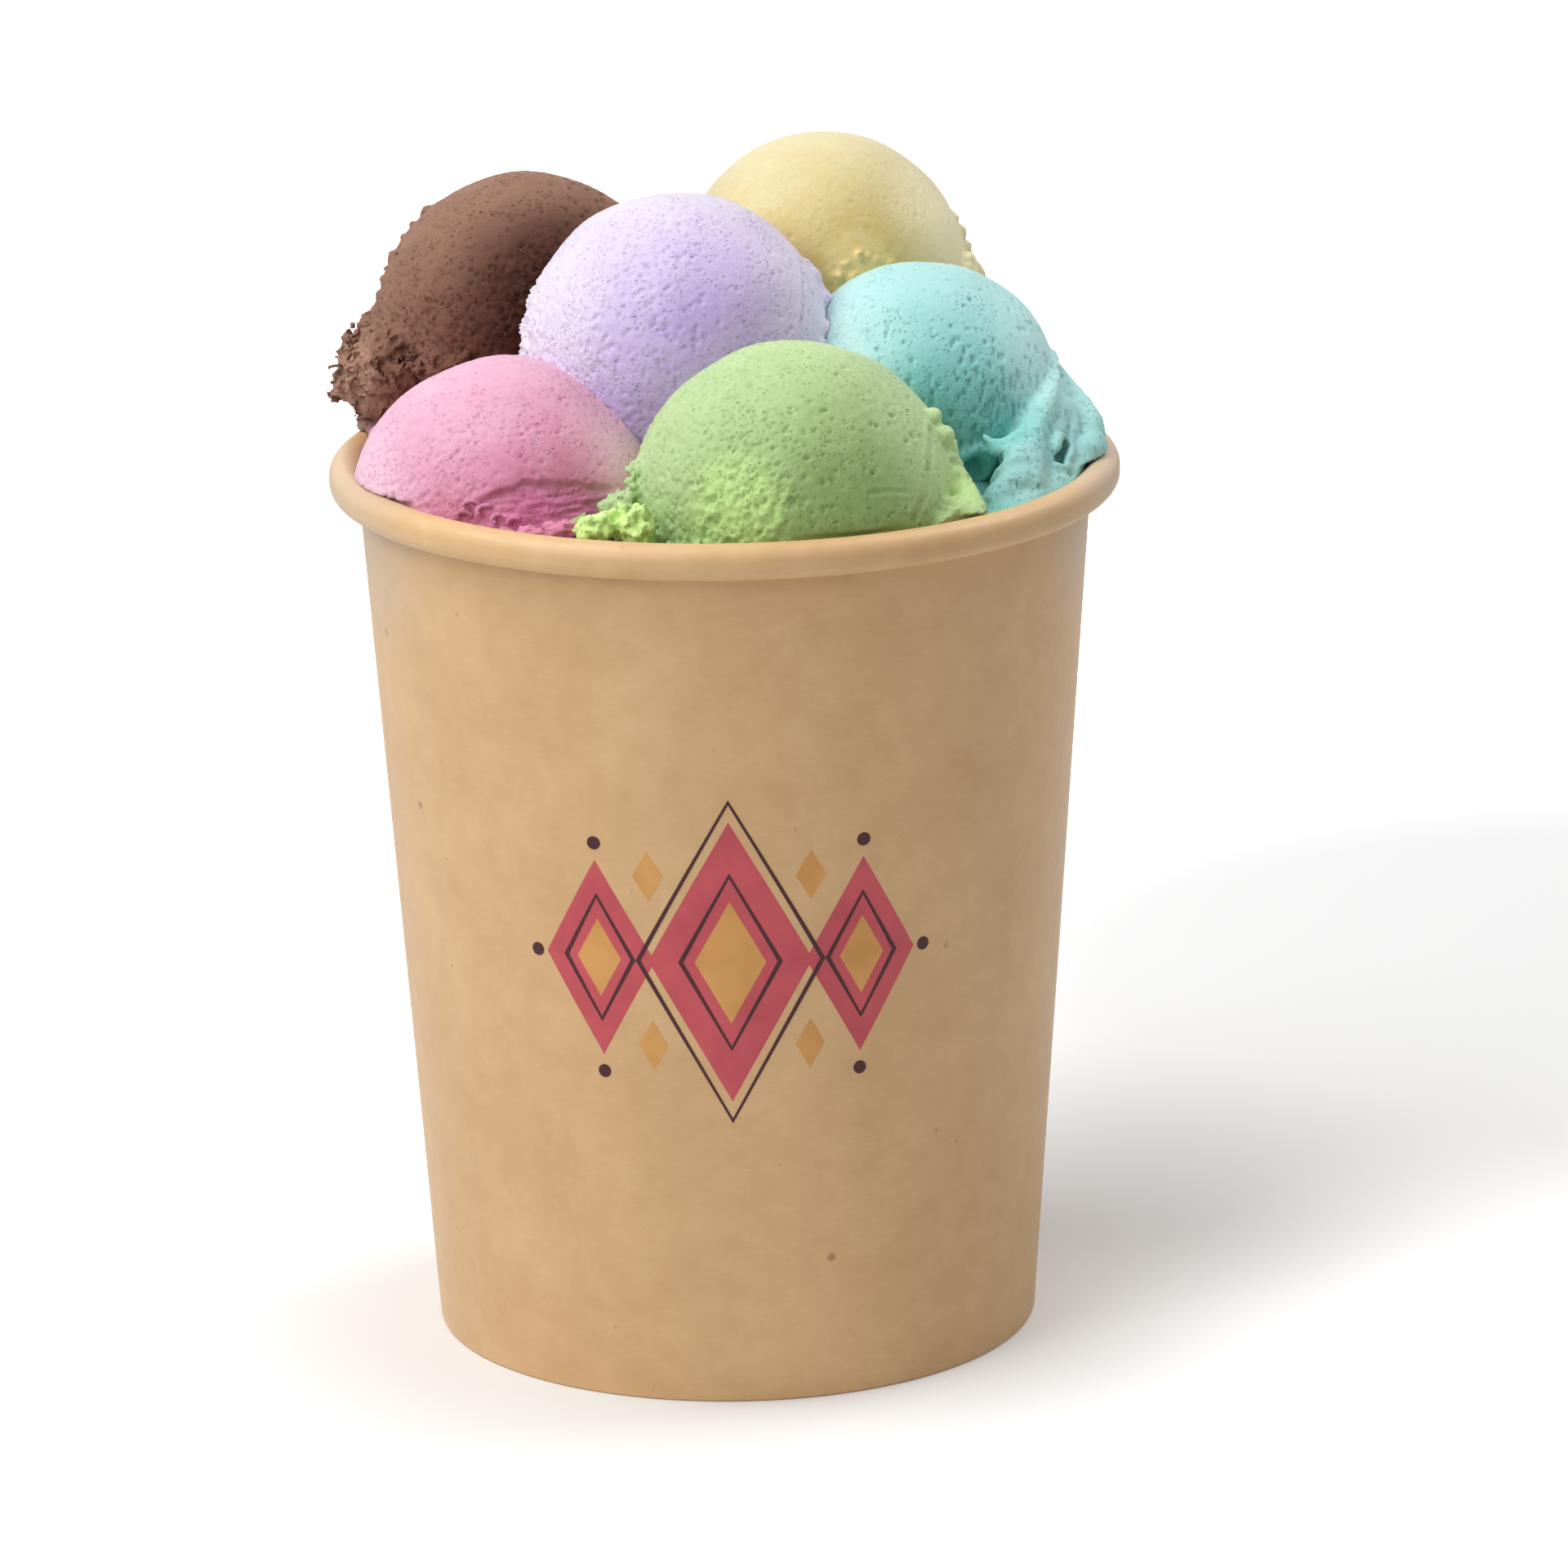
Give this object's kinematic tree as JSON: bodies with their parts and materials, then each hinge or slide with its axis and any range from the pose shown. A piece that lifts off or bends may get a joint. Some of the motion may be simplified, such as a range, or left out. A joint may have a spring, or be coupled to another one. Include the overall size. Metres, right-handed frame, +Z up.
{
  "type": "paper ice cream cup",
  "caption": "Tapered kraft paper tub with a rolled rim and a raised base, heaped with scoops of ice cream in different colours.",
  "frame": {"origin": "middle of the ring that the cup stands on, at table level", "axes": "+Z up along the cup's axis, -Y towards the viewer of the picture, +X to the viewer's right"},
  "size_m": [0.1181, 0.1174, 0.1735],
  "materials": {
    "kraft_board": "brown kraft board, satin, faintly mottled",
    "base_board": "brown kraft board, satin",
    "cream": "pale ice cream, smooth and softly matt",
    "chocolate": "chocolate ice cream, pitted, with crumbly edges",
    "lavender": "pale purple ice cream, finely pitted",
    "lemon": "pale yellow ice cream, smooth",
    "mint": "blue-green ice cream, pitted, with smeared edges",
    "strawberry": "pink ice cream, finely pitted",
    "pistachio": "pale green ice cream, pitted, with crumbly edges"
  },
  "bodies": {
    "root": {"cup_wall": "kraft_board", "cup_base": "base_board", "ice_cream_bed": "cream", "scoop_chocolate": "chocolate", "scoop_lavender": "lavender", "scoop_lemon": "lemon", "scoop_mint": "mint", "scoop_strawberry": "strawberry", "scoop_pistachio": "pistachio"}
  },
  "joints": []
}
